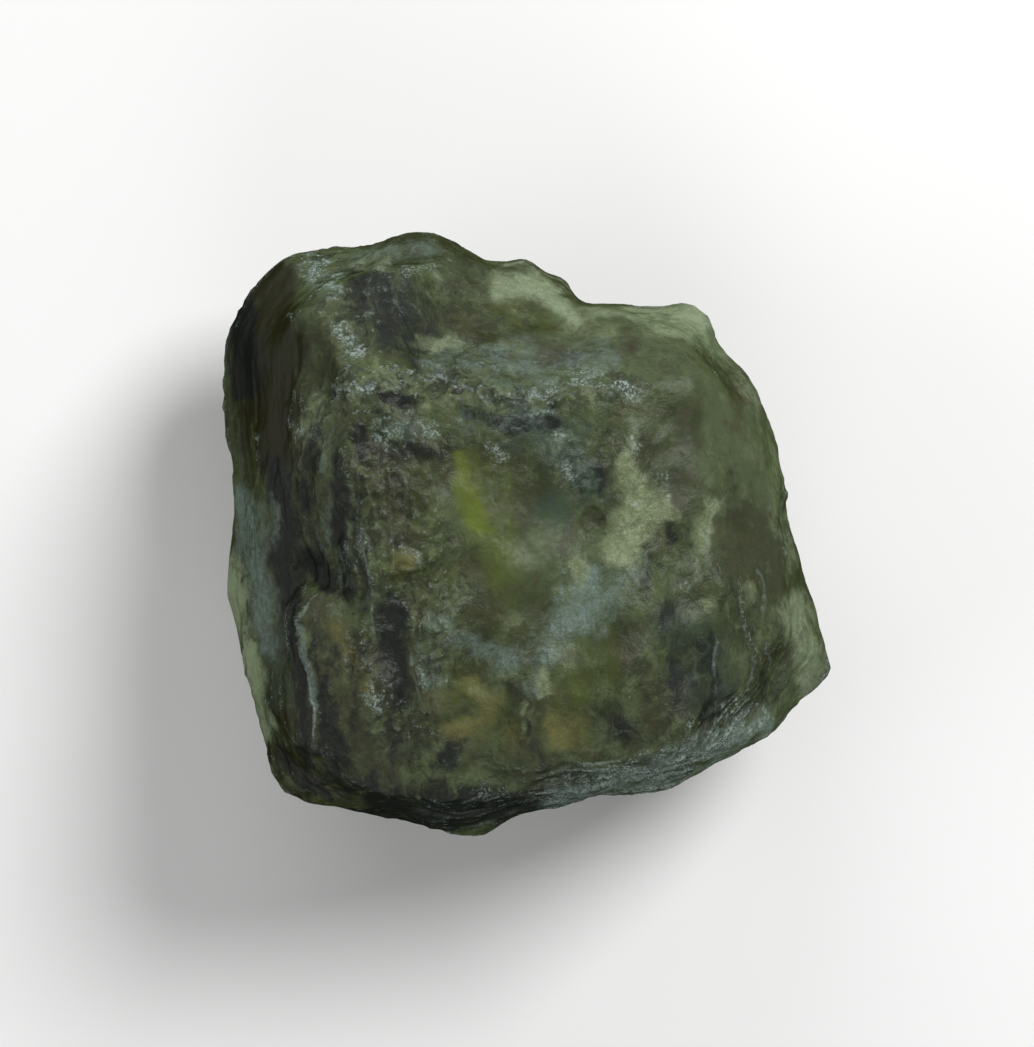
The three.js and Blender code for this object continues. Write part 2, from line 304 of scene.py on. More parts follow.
def fineStone():
    bm = bmesh.new()
    bm.from_mesh(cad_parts["garnet"].data)
    bmesh.ops.remove_doubles(bm, verts=bm.verts, dist=1e-6)
    divide(bm, bm.edges, crystal["cuts"])
    bm.normal_update()
    upper = [e for e in bm.edges if min(v.normal.z for v in e.verts) > 0.3]
    divide(bm, upper, crystal["upperCuts"])
    smooth(bm, bm.verts, crystal["smoothing"])
    points, normals = placesOf(bm)
    worn = painted(seenFromAbove(points), reliefStrokes["worn"]) * smoothStep(0, 0.3, normals[:, 2])
    smooth(bm, [v for v, w in zip(bm.verts, worn) if w > 0.5], crystal["wearing"])
    bm.normal_update()
    return bm


def divide(bm, edges, cuts):
    bmesh.ops.subdivide_edges(bm, edges=edges, cuts=cuts, use_grid_fill=True)
    bmesh.ops.triangulate(bm, faces=bm.faces)


def smooth(bm, verts, rounds):
    axes = {"use_axis_x": True, "use_axis_y": True, "use_axis_z": True}
    for _ in range(rounds):
        bmesh.ops.smooth_vert(bm, verts=verts, factor=0.5, **axes)


def placesOf(bm):
    points = np.array([v.co[:] for v in bm.verts]) / mm
    normals = np.array([v.normal[:] for v in bm.verts])
    return points, normals


def shapeStone(bm):
    points, normals = placesOf(bm)
    up = smoothStep(0.0, 0.4, normals[:, 2])
    seen = seenFromAbove(points)
    flat = wandering(points, seen)
    zone = {name: up * painted(flat, strokes) for name, strokes in reliefStrokes.items()}
    wild = smoothStep(-0.2, 0.35, hills(points, crystal["hiddenSize"], 2, 20.0))
    hidden = crystal["hiddenRough"] * (1 - up) * wild
    calmed = crystal["calming"] * zone["smooth"]
    rough = crystal["evenRough"] + hidden + zone["rough"] - calmed
    rough = np.clip(rough, crystal["leastRough"], 1)
    striated = np.clip(crystal["evenStriated"] + hidden + zone["striated"] - calmed, 0, 1)
    height = crystal["swell"] * hills(points, crystal["swellSize"], 2, 9.0)
    height += breaks(points, zone, rough)
    height += grain(points, striated)
    height += crystal["knob"] * zone["knobs"] - crystal["pit"] * zone["pits"]
    rim = smoothStep(-0.7, -0.1, normals[:, 2])
    height += crystal["fuller"] * rim * painted(seen, reliefStrokes["fuller"])
    height -= crystal["leaner"] * rim * painted(seen, reliefStrokes["leaner"])
    away, strength = linesNear(wandering(points, seen, 0.6))
    height += crystal["line"] * up * strength * np.sign(away)
    wave, front = terraces(points, normals)
    part = np.mod(wave, 1)
    riser = frontSteps["riser"]
    saw = np.where(part < 1 - riser, part / (1 - riser), (1 - part) / riser)
    height += frontSteps["height"] * front * (saw - 0.5)
    height *= smoothStep(0.0, crystal["footing"], points[:, 2])
    points += height[:, None] * normals
    points[:, 2] = np.maximum(points[:, 2], 0)
    for vert, place in zip(bm.verts, points):
        vert.co = Vector(place) * mm
    bm.normal_update()
    return wave, front


def breaks(points, zone, rough):
    loose = bent(points, crystal["bendSize"], crystal["bend"])
    large = shells(loose, crystal["breakSize"], crystal["breakDepth"], crystal["breakTilt"], 3.3)
    small = shells(loose, crystal["chipSize"], crystal["chipDepth"], crystal["chipTilt"], 8.1)
    crumbs = crystal["crumb"] * (0.15 + rough) * hills(points, crystal["crumbSize"], 3)
    return (1 - 0.8 * zone["smooth"] - 0.5 * zone["striated"]) * large + rough * small + crumbs


def grain(points, striated):  # fine ridges along the crystal
    lean = points[:, 0] + crystal["grainLean"] * points[:, 1]
    drawn = np.stack([lean, points[:, 1], points[:, 2]], axis=1)
    across = crystal["grainAcross"]
    size = (across, crystal["grainAlong"], 2 * across)
    return crystal["grain"] * striated * ridges(drawn, size, 3, 2.0)


def terraces(points, normals):  # how many steps up each point is, and how strong they are there
    front = smoothStep(*frontSteps["steepness"], -normals[:, 1])
    front *= smoothStep(*frontSteps["fromX"], points[:, 0])
    front *= smoothStep(*frontSteps["fromZ"], points[:, 2])
    left = frontSteps["gapLeaves"]
    gaps = smoothStep(*frontSteps["gaps"], hills(points, frontSteps["gapSize"], 2, 60.0))
    front *= left + (1 - left) * gaps
    height = points[:, 2] + frontSteps["slope"] * points[:, 0]
    height += frontSteps["warp"] * hills(points, frontSteps["warpSize"], 4, 5.0)
    return height / frontSteps["spacing"], front


# What the material needs to know of the shape at each point

def curvature(bm, rounds):  # how far each point stands out from those around it
    points, normals = placesOf(bm)
    links = np.array([(e.verts[0].index, e.verts[1].index) for e in bm.edges])
    count = np.zeros(len(points))
    np.add.at(count, links.ravel(), 1)
    softened = points.copy()
    for _ in range(rounds):
        total = np.zeros_like(softened)
        np.add.at(total, links[:, 0], softened[links[:, 1]])
        np.add.at(total, links[:, 1], softened[links[:, 0]])
        softened = 0.5 * softened + 0.5 * total / count[:, None]
    return np.einsum("ij,ij->i", points - softened, normals)


inwardLight = {  # rays cast into the crystal from each point of it
    "rays": 6,
    "inward": 0.55,
    "aside": 0.83,
    "start": 0.02 * mm,
    "reach": 20 * mm,
    "fade": 2.8 * mm,
}


def thinness(bm):  # near 1 where light has little crystal to cross
    tree = BVHTree.FromBMesh(bm)
    turn = 2 * math.pi / inwardLight["rays"]
    rays = [(math.cos(n * turn), math.sin(n * turn)) for n in range(inwardLight["rays"])]
    start, reach = inwardLight["start"], inwardLight["reach"]
    thin = np.empty(len(bm.verts))
    for vert in bm.verts:
        inward = -vert.normal
        side = inward.orthogonal().normalized()
        other = inward.cross(side)
        total = 0.0
        for x, y in rays:
            way = inwardLight["inward"] * inward + inwardLight["aside"] * (x * side + y * other)
            distance = tree.ray_cast(vert.co + inward * start, way.normalized(), reach)[3]
            total += math.exp(-(distance or reach) / inwardLight["fade"])
        thin[vert.index] = total / len(rays)
    return thin


toneStrokes = {
    "brown": [
        (0.8, (-6.6, 3.4, 0.9), (-5.6, 1.0, 1.2), (-5.0, -0.8, 0.9)),
        (0.5, (-7.8, 4.8, 0.6), (-9.0, 3.4, 0.7)),
        (0.8, (-6.6, -5.0, 0.28), (-6.5, -6.8, 0.28)),
        (0.6, (-3.2, 7.4, 0.5), (0.4, 7.6, 0.8), (3.4, 7.6, 0.7), (5.0, 8.2, 0.4)),
        (0.9, (2.9, 0.7, 0.45), (3.2, 0.2, 0.35)),
        (0.5, (3.2, -0.9, 0.4)),
        (0.9, (-8.6, -3.4, 0.8), (-8.0, -6.0, 1.0), (-7.4, -9.0, 1.2), (-5.4, -10.2, 1.0)),
        (0.7, (-9.8, -8.0, 0.8), (-8.6, -10.6, 0.9)),
        (0.45, (-5.8, -8.0, 0.7), (-3.0, -9.8, 0.8), (1.0, -10.0, 0.7)),
        (0.6, (-4.6, -5.6, 0.6), (-4.2, -8.4, 0.7)),
        (0.5, (5.2, -4.2, 0.6), (5.4, -7.6, 0.8)),
    ],
    # near-black parts of the stone, and painted shade: under the ridge, above the sliver on the left
    # and on the bottom face
    "darkAndShade": [
        (1.0, (-12.2, 9.8, 0.6), (-12.1, 7.6, 0.9), (-12.0, 6.2, 0.6)),
        (0.75, (-6.9, 10.8, 0.9), (-5.6, 9.6, 1.7), (-4.9, 8.6, 1.3)),
        (0.3, (-4.4, 7.6, 0.4), (-1.4, 7.2, 0.6), (1.6, 7.2, 0.6), (3.8, 7.6, 0.4)),
        (0.7, (-6.9, 4.6, 0.4), (-6.6, 3.6, 0.4)),
        # painted shadow under the ridge
        (0.8, (-2.4, 5.2, 0.35), (-0.4, 4.9, 0.45), (1.4, 4.7, 0.4)),
        (0.75, (-5.0, 3.6, 0.4), (-3.6, 3.4, 0.4)),
        (0.35, (1.4, 3.0, 0.6), (2.6, 1.6, 0.6), (3.4, 2.6, 0.5)),
        (0.5, (-8.9, -3.4, 0.3), (-8.2, -6.0, 0.4), (-8.0, -7.6, 0.3)),
        (0.6, (-10.6, -9.8, 0.6), (-8.8, -11.0, 0.8), (-6.4, -10.8, 0.6)),
        (0.5, (-7.3, -5.2, 0.2), (-7.2, -8.4, 0.25)),
        (0.5, (-4.0, -5.2, 0.2), (-4.0, -8.0, 0.25)),
        (0.5, (5.6, -0.4, 0.6), (5.0, -2.6, 0.5)),
        # painted shadows under the ridge, this stroke and the next
        (0.9, (-6.0, 5.9, 0.35), (-5.3, 6.0, 0.35)),
        (0.7, (-6.3, 5.2, 0.28)),
        (0.85, (-10.6, 2.9, 0.45), (-10.3, 0.6, 0.65), (-10.2, -2.0, 0.7), (-9.9, -4.0, 0.5)),
        # painted shadow above the sliver, over a real pit
        (0.95, (-9.4, -1.2, 0.6), (-8.4, -1.9, 0.55), (-8.2, -2.6, 0.3)),
        (0.8, (-9.9, -4.0, 0.4), (-9.7, -6.6, 0.35), (-9.4, -9.6, 0.4)),
        (0.9, (-8.4, -7.0, 0.45), (-8.2, -10.2, 0.55)),
        (0.75, (-8.1, 3.6, 0.35), (-8.0, 0.6, 0.45), (-7.6, -2.8, 0.4)),
        (0.7, (-7.2, 1.6, 0.25), (-7.1, -1.0, 0.3), (-7.0, -3.6, 0.3)),
        (0.6, (-9.0, 4.4, 0.3), (-9.2, 1.6, 0.35), (-9.0, -0.4, 0.4)),
        (0.95, (-6.0, -3.6, 0.6), (-5.6, -5.4, 0.8), (-5.3, -7.2, 0.7)),
        (0.5, (-5.0, -2.2, 0.5), (-4.0, -2.4, 0.4)),
        (0.5, (-5.8, -7.8, 0.5), (-5.4, -9.6, 0.5)),
        (0.5, (-5.2, 2.6, 0.6), (-4.6, 1.0, 0.5)),
        (0.62, (6.6, -3.6, 0.8), (7.3, -5.4, 1.6), (7.8, -7.4, 1.4)),
        (0.5, (10.0, -6.2, 0.5), (11.0, -7.0, 0.5)),
        # painted shade on the bottom face, which looks away from the light, this stroke and the next
        (1.0, (-6.4, -11.6, 0.6), (-4.2, -12.1, 0.9), (-1.6, -12.2, 0.9), (0.8, -11.9, 0.7)),
        (0.9, (0.8, -11.9, 0.7), (3.0, -11.3, 0.4)),
        (0.5, (5.8, 0.1, 0.5), (6.9, -0.5, 0.6)),
        (0.65, (-0.1, -6.6, 0.5), (0.4, -8.8, 0.5)),
        (0.6, (3.6, -7.4, 0.7), (4.6, -8.6, 0.6)),
        (0.35, (3.8, -3.0, 0.5), (4.2, -4.6, 0.5)),
        (0.8, (-2.8, -8.8, 0.4), (-3.0, -10.0, 0.4)),
        (0.7, (-0.4, -8.2, 0.5), (0.8, -9.6, 0.5)),
        (0.5, (-2.8, -6.0, 0.3), (-0.4, -6.4, 0.3)),
        (0.6, (-2.6, -7.7, 0.35)),
        (0.5, (1.0, -6.6, 0.4), (1.0, -8.0, 0.4)),
    ],
    # deep olive: dark patches of the stone, and a painted shadow over the upper left
    "deepAndShadow": [
        # painted shadow over the upper left
        (1.0, (-10.9, 11.0, 1.0), (-10.8, 8.0, 1.4), (-10.9, 5.6, 1.5), (-10.7, 3.6, 1.0)),
        (0.5, (-9.0, 8.6, 0.8), (-8.8, 7.0, 0.7)),
        (0.8, (-10.2, -9.4, 0.6), (-9.6, -11.0, 0.7)),
        (0.6, (-10.9, -6.6, 0.5), (-10.3, -9.6, 0.5)),
        (0.4, (-4.2, 2.6, 0.6), (-3.9, 0.4, 0.5)),
        (0.4, (8.6, 3.0, 0.8), (9.2, 1.0, 0.8)),
    ],
    "teal": [
        (0.85, (0.8, 4.6, 0.9), (2.2, 3.6, 1.3), (2.6, 1.9, 1.1), (1.4, 1.0, 0.8)),
        (0.6, (7.2, -4.2, 1.4), (8.2, -6.6, 1.3)),
        (0.5, (-11.2, -1.6, 0.6), (-10.9, -4.6, 0.5), (-10.4, -7.4, 0.4)),
        (0.5, (-0.4, 3.8, 0.6)),
        (0.4, (-5.6, 9.8, 1.0), (-4.4, 8.6, 0.8)),
    ],
    "glow": [
        (1.0, (-2.8, 3.1, 0.35), (-2.4, 2.2, 0.6), (-1.9, 1.2, 0.65), (-1.4, 0.3, 0.45)),
        (0.6, (-2.4, 3.2, 0.7), (-1.5, 1.4, 1.3), (-0.9, -0.4, 1.1), (-0.6, -2.0, 0.8)),
        (0.4, (-1.1, -0.6, 0.7), (-0.6, -2.0, 0.8), (-0.4, -3.2, 0.7), (-0.3, -4.2, 0.4)),
        (0.3, (-1.8, 3.2, 1.3), (-0.6, 1.0, 2.0), (-0.2, -1.6, 1.7), (-0.3, -3.8, 1.2)),
        (0.4, (-5.4, -1.6, 1.2), (-3.4, -2.2, 1.3)),
        (0.45, (-2.4, -6.8, 1.6), (-1.0, -7.8, 1.6)),
        (0.35, (1.4, -5.6, 1.0), (1.6, -9.0, 1.2)),
        (0.5, (2.2, -5.2, 0.5), (2.6, -8.6, 0.6)),
        (0.4, (3.4, -4.6, 1.0), (3.4, -7.0, 1.0)),
        (0.5, (-7.2, 2.9, 0.2), (-5.9, 2.5, 0.16)),
        (0.4, (-4.6, 2.8, 0.8), (-4.2, 0.6, 0.8)),
        (0.3, (2.9, 3.5, 0.6)),
        (0.35, (-6.4, 7.3, 0.6), (-5.2, 7.4, 0.6)),
        (0.3, (-9.2, 7.4, 0.5), (-9.4, 5.6, 0.5)),
        (0.4, (-0.8, 9.8, 1.0), (0.8, 9.4, 1.0)),
    ],
    "ochre": [
        (0.8, (-5.3, -1.2, 0.4), (-4.9, -1.0, 0.4)),
        (0.5, (-4.0, -0.7, 0.34)),
        (1.0, (-1.9, -6.9, 0.6), (-1.3, -7.2, 0.6)),
        (0.9, (-2.8, -8.4, 0.5)),
        (0.8, (1.4, -8.2, 0.4), (1.7, -9.2, 0.4)),
        (0.5, (-8.2, -3.8, 0.4), (-7.6, -5.4, 0.5), (-7.1, -6.6, 0.4)),
        (0.6, (3.0, 1.1, 0.3)),
        (0.5, (5.2, 1.2, 0.4), (5.3, 0.4, 0.4)),
        (0.3, (-3.8, -7.6, 1.2), (-1.0, -8.8, 1.4), (2.0, -8.6, 1.2)),
    ],
    # pale bluish patches of the stone, and painted sheen: reflections of the sky on the left strip, the
    # upper left and the bottom ripples
    "blue": [
        (1.0, (3.0, -1.8, 0.5), (2.9, -2.8, 0.8), (2.2, -3.8, 0.8)),
        (0.6, (4.8, -1.0, 0.5), (4.0, -2.2, 0.9), (3.0, -3.6, 1.0)),
        (0.75, (2.2, -3.8, 0.7), (1.2, -4.8, 0.7), (0.6, -5.4, 0.6)),
        (0.8, (0.8, -5.2, 0.5), (-0.6, -5.4, 0.5), (-1.8, -4.9, 0.5)),
        (0.6, (-1.8, -4.6, 0.5), (-3.2, -4.4, 0.6), (-4.0, -4.0, 0.5)),
        (0.5, (0.8, -5.6, 0.6), (0.6, -6.8, 0.5)),
        (0.4, (1.6, -2.6, 0.8), (0.6, -3.6, 0.8)),
        # painted sheen on the left strip
        (0.95, (-12.2, 1.8, 0.4), (-11.8, -0.8, 0.8), (-11.4, -3.0, 0.65), (-11.0, -5.4, 0.4)),
        # painted sheen on the bottom ripples
        (1.0, (1.4, -11.4, 0.7), (5.2, -10.8, 0.9), (8.2, -9.6, 0.9), (10.6, -8.2, 0.7)),
        (0.6, (-3.6, 7.6, 0.7), (0.0, 7.4, 0.9), (3.4, 7.4, 0.8)),
        (0.6, (-9.2, 11.2, 0.5), (-8.4, 10.8, 0.6)),
        (0.6, (-7.2, 12.0, 0.5), (-4.4, 12.2, 0.6)),
        (0.9, (-9.5, -4.2, 0.24), (-9.2, -6.0, 0.26), (-8.95, -7.8, 0.2)),
        (0.5, (-2.6, 5.0, 0.8), (0.4, 5.0, 0.8)),
        (0.5, (-6.0, 4.6, 0.5), (-4.4, 4.4, 0.5)),
        (0.4, (-4.2, -5.0, 0.8), (-3.8, -6.2, 0.6)),
        (0.45, (-8.6, 3.2, 0.2), (-8.6, 0.8, 0.22), (-8.3, -0.8, 0.2)),
        (0.4, (-7.6, 2.6, 0.16), (-7.5, -0.6, 0.18)),
        (0.5, (-10.9, 1.8, 0.3), (-10.8, -0.6, 0.3)),
    ],
    "cream": [
        (1.0, (4.6, 3.2, 0.3), (4.7, 2.4, 0.6), (4.9, 1.2, 0.9), (4.8, 0.2, 0.95), (4.4, -0.6, 0.7)),
        (0.7, (5.6, 1.6, 0.6), (6.2, 1.0, 0.4)),
        (0.5, (4.8, 4.6, 0.3), (4.8, 3.4, 0.3)),
        (0.7, (5.6, 0.9, 0.4), (6.6, 0.7, 0.3)),
        (0.6, (2.5, -1.3, 0.35), (2.7, -2.0, 0.35)),
        (0.5, (8.3, -3.1, 0.45)),
        (0.4, (9.8, -2.2, 0.35), (9.9, -3.0, 0.35)),
        # painted glow through the thin lip on the left
        (0.9, (-12.8, -1.8, 0.5), (-12.5, -4.4, 0.5), (-11.9, -6.6, 0.4)),
        (0.7, (8.5, 1.0, 0.4), (7.9, -0.4, 0.5)),
        (0.6, (-8.7, 5.8, 0.3), (-9.5, 4.4, 0.35)),
        (0.4, (-9.4, 4.0, 0.5), (-8.4, 3.8, 0.5)),
        (0.4, (-6.9, 11.6, 0.4), (-6.0, 11.6, 0.35)),
        (0.55, (-4.4, 8.4, 0.4), (-2.6, 7.9, 0.35)),
        (0.45, (1.8, 8.8, 0.4), (3.8, 8.6, 0.4)),
        (0.9, (-4.3, 5.5, 0.24)),
        (0.5, (-1.7, -7.0, 0.35)),
        (0.7, (0.9, -5.9, 0.3), (1.1, -6.9, 0.35)),
        (0.5, (0.2, -7.4, 0.25), (0.2, -8.6, 0.25)),
        (0.5, (-6.2, 7.3, 0.26)),
    ],
    # painted glow: light shining through the thin edges
    "rim": [
        (0.9, (-1.0, 10.8, 0.6), (0.6, 10.6, 0.8), (1.8, 10.0, 0.6), (2.2, 9.4, 0.4)),
        (0.3, (-3.6, 11.0, 0.6), (-2.0, 10.4, 0.7)),
        (1.0, (5.0, 9.6, 0.6), (7.4, 9.5, 1.0)),
        (0.6, (2.6, 9.6, 0.4), (5.0, 9.5, 0.4)),
        (0.5, (8.0, 8.8, 0.7), (9.6, 7.0, 0.6), (10.6, 5.0, 0.5)),
        (0.4, (11.0, 3.6, 0.5), (11.4, 0.6, 0.5), (11.8, -1.4, 0.5)),
        (0.75, (12.0, -3.2, 0.7), (12.4, -5.0, 0.8), (12.6, -6.6, 0.6)),
        (1.0, (-12.8, -1.6, 0.7), (-12.6, -4.2, 0.75), (-12.0, -6.4, 0.7), (-11.4, -8.4, 0.6)),
        (1.0, (-12.7, -2.0, 0.5), (-12.4, -4.4, 0.5)),
        (0.4, (-1.8, -12.8, 0.3), (0.5, -12.2, 0.25)),
    ],
    # frosted patches of the stone, with painted glints and sheen along the ridge
    "frostAndGlints": [
        (0.7, (-9.4, 11.6, 0.6), (-8.5, 11.0, 0.7)),
        (0.8, (-8.0, 8.9, 0.5), (-7.5, 8.0, 0.6), (-6.9, 7.6, 0.5)),
        (0.5, (-8.0, 6.3, 0.5), (-6.8, 6.0, 0.6)),
        (0.4, (-6.0, 6.4, 0.5), (-4.6, 7.0, 0.5), (-3.0, 6.7, 0.5), (-2.0, 6.1, 0.5)),
        (0.4, (-2.0, 6.1, 0.5), (0.3, 5.9, 0.6)),
        (0.6, (0.6, 6.2, 0.5), (2.6, 6.6, 0.5), (4.4, 6.2, 0.5), (4.8, 5.6, 0.5)),
        (0.5, (-0.1, 5.6, 0.7), (1.4, 5.5, 0.6)),
        # painted glint
        (0.8, (-6.2, 4.6, 0.45), (-5.7, 4.2, 0.45)),
        (0.65, (-4.4, 4.6, 0.45), (-3.6, 4.5, 0.4)),
        # painted glint
        (0.8, (-1.5, 3.9, 0.35), (-1.0, 3.2, 0.4)),
        (0.35, (-3.0, 5.0, 0.9), (0.0, 4.9, 0.9)),
        (0.55, (4.8, 4.6, 0.4), (4.9, 3.4, 0.4)),
        (0.5, (5.9, 2.6, 0.3), (6.1, 1.6, 0.3)),
        (0.35, (8.6, 1.6, 0.3), (8.2, 0.6, 0.6), (7.9, -0.4, 0.6)),
        (0.45, (7.9, -0.8, 0.4), (7.2, -2.0, 0.35)),
        (0.5, (1.7, 4.2, 0.4), (1.9, 3.5, 0.4)),
        (0.5, (2.1, 2.6, 0.5), (2.4, 2.1, 0.4)),
        (0.8, (-6.9, -6.9, 0.4), (-6.2, -7.6, 0.45)),
        (0.4, (-4.6, -3.6, 0.35), (-4.3, -5.2, 0.4), (-4.1, -7.6, 0.35)),
        (0.35, (-3.3, -3.6, 0.4), (-3.0, -5.8, 0.35)),
        (0.3, (4.8, 2.0, 0.6), (4.8, 0.2, 0.7)),
        (0.35, (2.6, -2.4, 1.1), (1.8, -4.2, 1.1)),
        (0.3, (6.2, -4.6, 0.8), (7.6, -4.4, 0.8)),
        (0.7, (7.3, -8.4, 0.3)),
        (0.45, (-9.4, 4.4, 0.6), (-8.4, 4.0, 0.7)),
        (0.6, (-5.2, -0.6, 0.22), (-4.7, -0.7, 0.22), (-4.5, -1.3, 0.22)),
        (0.35, (6.4, 7.0, 0.3), (6.4, 6.0, 0.3)),
        (0.35, (-8.6, -3.2, 0.6), (-7.8, -5.4, 0.7)),
        (0.4, (-3.0, 7.9, 0.9), (1.0, 7.0, 0.6)),
        (0.3, (-6.6, 9.6, 1.2), (-4.6, 10.4, 1.2)),
        (0.75, (1.4, -11.2, 0.7), (5.2, -10.6, 0.8), (8.2, -9.4, 0.8), (10.6, -8.0, 0.6)),
    ],
}

bandedStrokes = [  # where the marks run across the stone instead of along it
    (1.0, (-8.0, 6.2, 0.9), (-4.6, 6.6, 1.0), (-1.0, 5.8, 1.3), (2.6, 6.2, 1.3), (5.0, 6.6, 1.0)),
    (0.9, (-3.6, 7.6, 0.9), (1.0, 7.8, 1.1), (5.0, 8.0, 0.9)),
    (0.8, (-3.4, -4.4, 0.8), (-0.6, -5.2, 1.0), (2.0, -4.4, 1.1), (3.2, -2.6, 1.0)),
    (1.0, (-4.0, -10.6, 0.9), (2.0, -10.2, 1.0), (8.0, -8.8, 0.9), (11.0, -7.6, 0.8)),
]

hiddenShare = {  # how strong a tone's patches are on the sides that no stroke reaches
    "brown": 0.6,
    "deepAndShadow": 0.6,
    "glow": 0.3,
    "ochre": 0.2,
    "cream": 0.12,
    "rim": 0.1,
    "blue": 0.22,
    "teal": 0.5,
    "darkAndShade": 0.45,
    "frostAndGlints": 0.5,
}

paint = {
    "facing": (-0.2, 0.1),  # the upward share of the normal over which the strokes set in
    "level": (5.0, 9.0),  # mm, the heights over which they do
    "steep": (0.4, 0.0),
    "wilder": 2,  # how much more their edges wander on steep sides
    "paleNames": ("rim", "cream", "blue"),
    "paleLess": 0.4,  # how much weaker these are there
    "hiddenPatches": (0.12, 0.5),
    "hiddenSize": 3.4,
    "fineEdge": (0.008, 0.05),  # mm that a point stands out
    "broadEdge": (0.12, 0.5),
    "fineCreaseShade": (0.006, 0.04),
    "broadCreaseShade": (0.1, 0.4),
}


def paintStone(bm, mesh):
    points, normals = placesOf(bm)
    up = smoothStep(*paint["facing"], normals[:, 2]) * smoothStep(*paint["level"], points[:, 2])
    steep = smoothStep(*paint["steep"], normals[:, 2])
    seen = seenFromAbove(points)
    flat = wandering(points, seen, 1 + paint["wilder"] * steep)
    for number, (name, strokes) in enumerate(toneStrokes.items()):
        far = 11.0 * number + 3.0
        wild = smoothStep(*paint["hiddenPatches"], hills(points, paint["hiddenSize"], 4, far))
        hidden = (1 - up) * hiddenShare[name] * wild
        share = 1 - paint["paleLess"] * steep if name in paint["paleNames"] else 1.0
        store(mesh, name, share * up * painted(flat, strokes) + hidden)
    away, strength = linesNear(wandering(points, seen, 0.6))
    store(mesh, "line", up * strength)
    store(mesh, "lineAway", 0.5 + 0.5 * away)
    store(mesh, "cloud", 0.5 + 0.5 * hills(points, 4.2, 4, 7.0))
    fine = curvature(bm, 3)
    broad = curvature(bm, 40)
    edge = smoothStep(*paint["fineEdge"], fine) + 0.7 * smoothStep(*paint["broadEdge"], broad)
    # how sunk each point is, for the shade painted into creases
    creaseShade = smoothStep(*paint["fineCreaseShade"], -fine) + 0.6 * smoothStep(*paint["broadCreaseShade"], -broad)
    store(mesh, "edge", edge)
    store(mesh, "creaseShade", creaseShade)
    store(mesh, "thin", thinness(bm))
    store(mesh, "striated", up * painted(flat, reliefStrokes["striated"]) + 0.5 * (1 - up))
    store(mesh, "facing", smoothStep(0.3, 0.85, normals[:, 2]))
    store(mesh, "rough", up * painted(flat, reliefStrokes["rough"]) + 0.6 * (1 - up))
    store(mesh, "smooth", up * painted(flat, reliefStrokes["smooth"]))
    store(mesh, "banded", up * painted(flat, bandedStrokes))


def store(mesh, name, values, top=1.0):
    layer = mesh.attributes.new(name, "FLOAT", "POINT")
    layer.data.foreach_set("value", np.clip(values, 0, top).astype(np.float32))


def makeStone():
    bm = fineStone()
    print("crystal divided:", len(bm.faces), "faces")
    wave, front = shapeStone(bm)
    print("crystal shaped")
    mesh = bpy.data.meshes.new("roughCrystal")
    bm.to_mesh(mesh)
    bm.verts.index_update()
    paintStone(bm, mesh)
    store(mesh, "terraceCount", wave, 100.0)
    store(mesh, "terraced", front)
    bm.free()
    mesh.shade_smooth()
    stone = bpy.data.objects.new("roughCrystal", mesh)
    bpy.context.collection.objects.link(stone)
    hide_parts("garnet")
    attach(stone, "root")
    print("crystal painted")
    return stone


# Shader maths

class Wire:  # an output socket that can be used in sums
    def __init__(self, graph, socket):
        self.graph = graph
        self.socket = socket

    def math(self, operation, *values):
        return self.graph.add("ShaderNodeMath", {"operation": operation}, dict(enumerate(values)))

    def __add__(self, other):
        return self.math("ADD", self, other)

    def __radd__(self, other):
        return self.math("ADD", other, self)

    def __sub__(self, other):
        return self.math("SUBTRACT", self, other)

    def __rsub__(self, other):
        return self.math("SUBTRACT", other, self)

    def __mul__(self, other):
        return self.math("MULTIPLY", self, other)

    def __rmul__(self, other):
        return self.math("MULTIPLY", other, self)

    def clamped(self):
        return self.graph.add("ShaderNodeClamp", {}, {"Value": self})

    def fraction(self):
        return self.math("FRACT", self)

    def size(self):
        return self.math("ABSOLUTE", self)

    def between(self, low, high):
        ends = {"Value": self, "From Min": low, "From Max": high}
        return self.graph.add("ShaderNodeMapRange", {"interpolation_type": "SMOOTHSTEP"}, ends)


class Graph:  # a material's nodes
    def __init__(self, name):
        self.material = bpy.data.materials.new(name)
        self.material.use_nodes = True
        self.tree = self.material.node_tree
        self.tree.nodes.clear()

    def add(self, kind, settings, inputs, output=0):
        node = self.tree.nodes.new(kind)
        for name, value in settings.items():
            setattr(node, name, value)
        for name, value in inputs.items():
            if isinstance(value, Wire):
                self.tree.links.new(value.socket, node.inputs[name])
            else:
                node.inputs[name].default_value = value
        return None if output is None else Wire(self, node.outputs[output])

    def mix(self, factor, first, second):
        settings = {"data_type": "RGBA", "clamp_factor": True}
        return self.add("ShaderNodeMix", settings, {0: factor, 6: first, 7: second}, 2)

    def attribute(self, name):
        return self.add("ShaderNodeAttribute", {"attribute_name": name}, {}, "Fac")

    def noise(self, place, size, detail=4.0, roughness=0.6, output=0):  # size in metres
        sizes = {"Vector": place, "Scale": 1 / size, "Detail": detail, "Roughness": roughness}
        return self.add("ShaderNodeTexNoise", {}, sizes, output)

    def loosened(self, place, size, amount):  # the place moved about, up to the amount in metres
        drift = self.noise(place, size, 1.0, 0.6, "Color")
        moved = {0: drift, 1: (amount, amount, amount), 2: place}
        return self.add("ShaderNodeVectorMath", {"operation": "MULTIPLY_ADD"}, moved)

    def turned(self, place, angle, stretch):
        settings = {"Vector": place, "Rotation": (0, 0, angle), "Scale": stretch}
        return self.add("ShaderNodeMapping", {}, settings)

    def flakes(self, place, size):  # cells with a value each
        colour = self.add("ShaderNodeTexVoronoi", {}, {"Vector": place, "Scale": 1 / size}, "Color")
        return self.add("ShaderNodeSeparateColor", {}, {0: colour})


def tone(red, green, blue):  # a colour as seen on screen, as Blender's linear light
    return (*[((c / 255 + 0.055) / 1.055) ** 2.4 for c in (red, green, blue)], 1.0)


